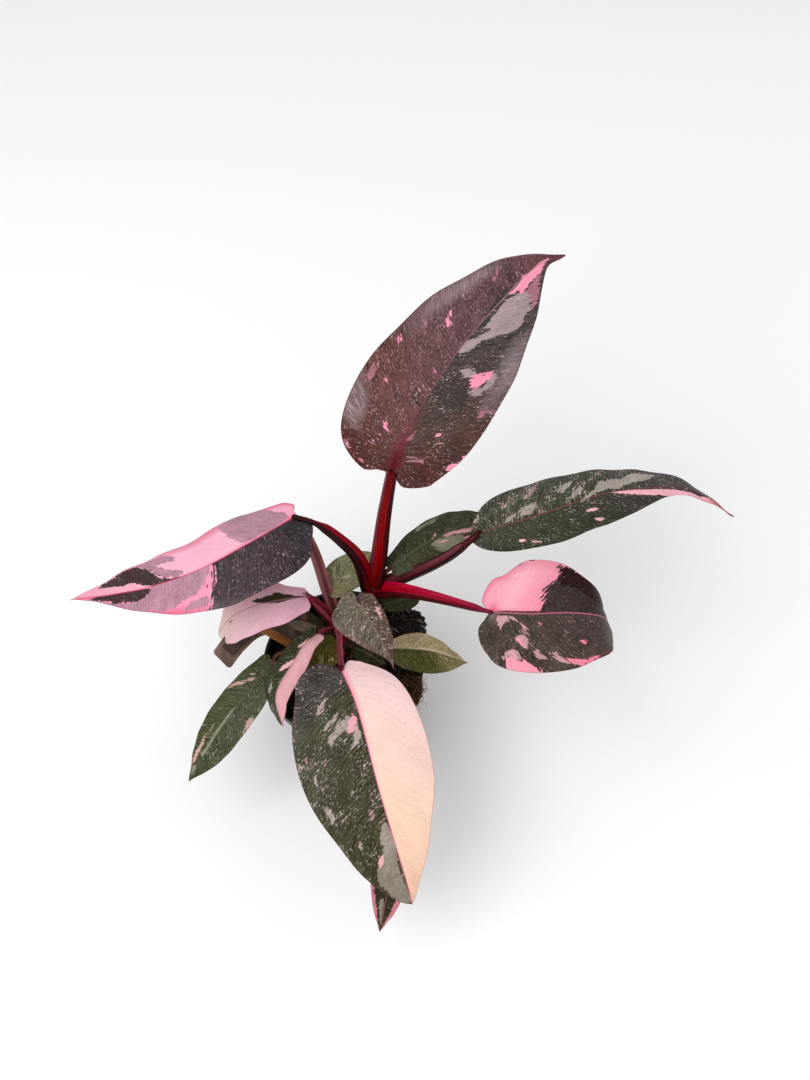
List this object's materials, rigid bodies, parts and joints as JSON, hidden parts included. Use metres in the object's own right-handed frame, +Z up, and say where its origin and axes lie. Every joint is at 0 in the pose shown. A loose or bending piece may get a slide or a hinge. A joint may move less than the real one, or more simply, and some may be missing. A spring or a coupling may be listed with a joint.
{
  "type": "variegated philodendron in nursery pot",
  "caption": "Bushy variegated philodendron with dark and pink heart-shaped leaves, in a small black nursery pot.",
  "frame": {"origin": "centre of the pot's foot, on the surface that the pot stands on", "axes": "+Z up along the pot's axis; -Y towards the plant's front, where its lowest leaves hang; +X towards the tip of its widest right-hand leaf"},
  "size_m": [0.3614, 0.3073, 0.2264],
  "materials": {
    "leaf_dark": "satin, dark green to maroon black with grey and pink speckles",
    "leaf_pink": "satin, pink sectors against dark green",
    "petiole": "glossy deep red",
    "stem": "matte, ringed with leaf scars",
    "pot": "thin black polypropylene",
    "soil": "moist bark and peat crumbs",
    "roots": "dry fibres",
    "stick": "raw split bamboo",
    "label": "blank plastic strip"
  },
  "bodies": {
    "root": {"back_leaf_blade": "leaf_dark", "back_leaf_stalk": "petiole", "back_right_leaf_blade": "leaf_dark", "back_right_leaf_stalk": "petiole", "crown_leaf_blade": "leaf_dark", "crown_leaf_stalk": "petiole", "folded_front_leaf_blade": "leaf_dark", "folded_front_leaf_stalk": "petiole", "front_leaf_blade": "leaf_dark", "front_leaf_stalk": "petiole", "hanging_front_leaf_blade": "leaf_dark", "hanging_front_leaf_stalk": "petiole", "hidden_left_leaf_blade": "leaf_dark", "hidden_left_leaf_stalk": "petiole", "inner_left_leaf_blade": "leaf_dark", "inner_left_leaf_stalk": "petiole", "inner_right_leaf_blade": "leaf_dark", "inner_right_leaf_stalk": "petiole", "low_front_leaf_blade": "leaf_dark", "low_front_leaf_stalk": "petiole", "low_right_leaf_blade": "leaf_dark", "low_right_leaf_stalk": "petiole", "lower_left_leaf_blade": "leaf_dark", "lower_left_leaf_stalk": "petiole", "nursery_pot": "pot", "pale_left_leaf_blade": "leaf_pink", "pale_left_leaf_stalk": "petiole", "pink_left_leaf_blade": "leaf_pink", "pink_left_leaf_stalk": "petiole", "plant_label": "label", "root_clump": "roots", "round_right_leaf_blade": "leaf_dark", "round_right_leaf_stalk": "petiole", "shaded_left_leaf_blade": "leaf_dark", "shaded_left_leaf_stalk": "petiole", "soil": "soil", "soil_lump": "soil", "stem": "stem", "support_stick": "stick", "top_leaf_blade": "leaf_dark", "top_leaf_stalk": "petiole", "tucked_right_leaf_blade": "leaf_dark", "tucked_right_leaf_stalk": "petiole", "upper_right_leaf_blade": "leaf_dark", "upper_right_leaf_stalk": "petiole"}
  },
  "joints": []
}
